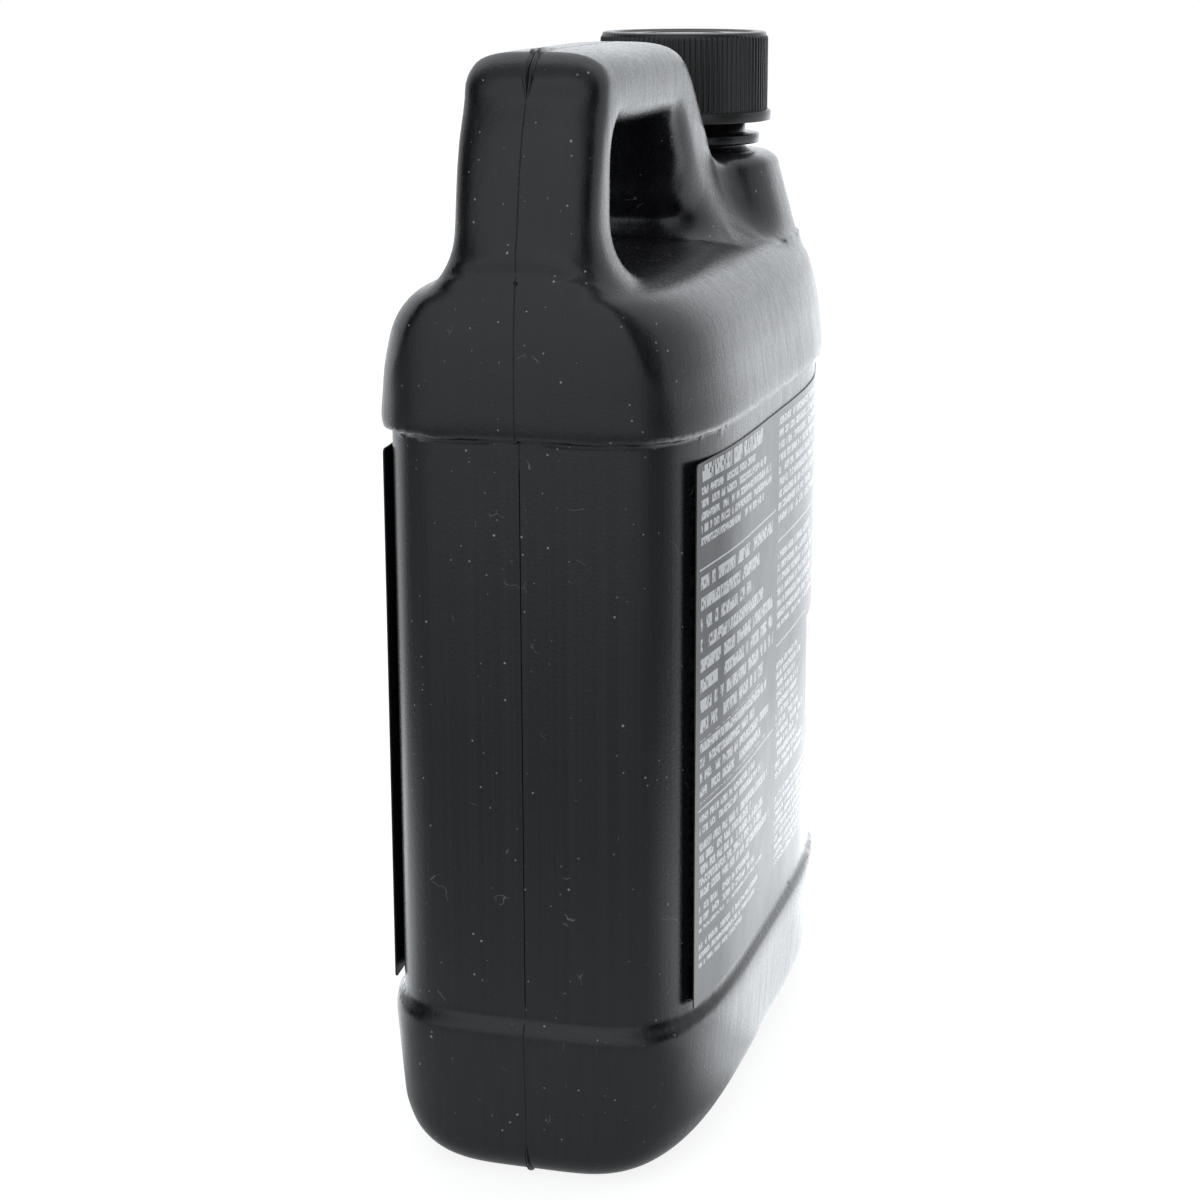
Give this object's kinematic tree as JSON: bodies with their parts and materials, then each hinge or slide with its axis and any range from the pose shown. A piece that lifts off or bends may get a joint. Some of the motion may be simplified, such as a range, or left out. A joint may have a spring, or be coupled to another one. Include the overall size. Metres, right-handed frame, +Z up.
{
  "type": "coolant bottle",
  "caption": "Flat rectangular blow-moulded jug with a hollow carrying handle, an offset neck, a ribbed push-and-turn screw cap and a label on each broad face.",
  "frame": {"origin": "centre of the footprint, on the surface that the bottle stands on", "axes": "+X from the handle's rear post towards the neck, +Y out of the front label, +Z up through the cap"},
  "size_m": [0.166, 0.0746, 0.2357],
  "materials": {
    "shell": "black polyethylene with a fine grain",
    "cap": "black, smooth satin",
    "inner_cap": "natural white",
    "liner": "white foam",
    "label_front": "satin printed film",
    "label_back": "satin printed film"
  },
  "bodies": {
    "jug": {"bottle": "shell", "front_label": "label_front", "back_label": "label_back"},
    "seal": {"cap_liner": "liner"},
    "closure": {"cap_inner": "inner_cap"},
    "overcap": {"cap_outer": "cap"}
  },
  "joints": [
    {"name": "cap_lift", "type": "slide", "parent": "jug", "child": "seal", "axis": [0, 0, 1], "range_m": [0, 0.0212]},
    {"name": "cap_turn", "type": "hinge", "parent": "seal", "child": "closure", "pos_m": [0.0516, 0, 0.229], "axis": [0, 0, 1], "range_deg": [0, 1800]},
    {"name": "cap_push", "type": "slide", "parent": "closure", "child": "overcap", "axis": [0, 0, -1], "range_m": [0, 0.0012], "stiffness_N_per_m": 3000}
  ],
  "couplings": [
    {"joint": "cap_lift", "follows": "cap_turn", "m_per_rad": 0.00067322}
  ]
}
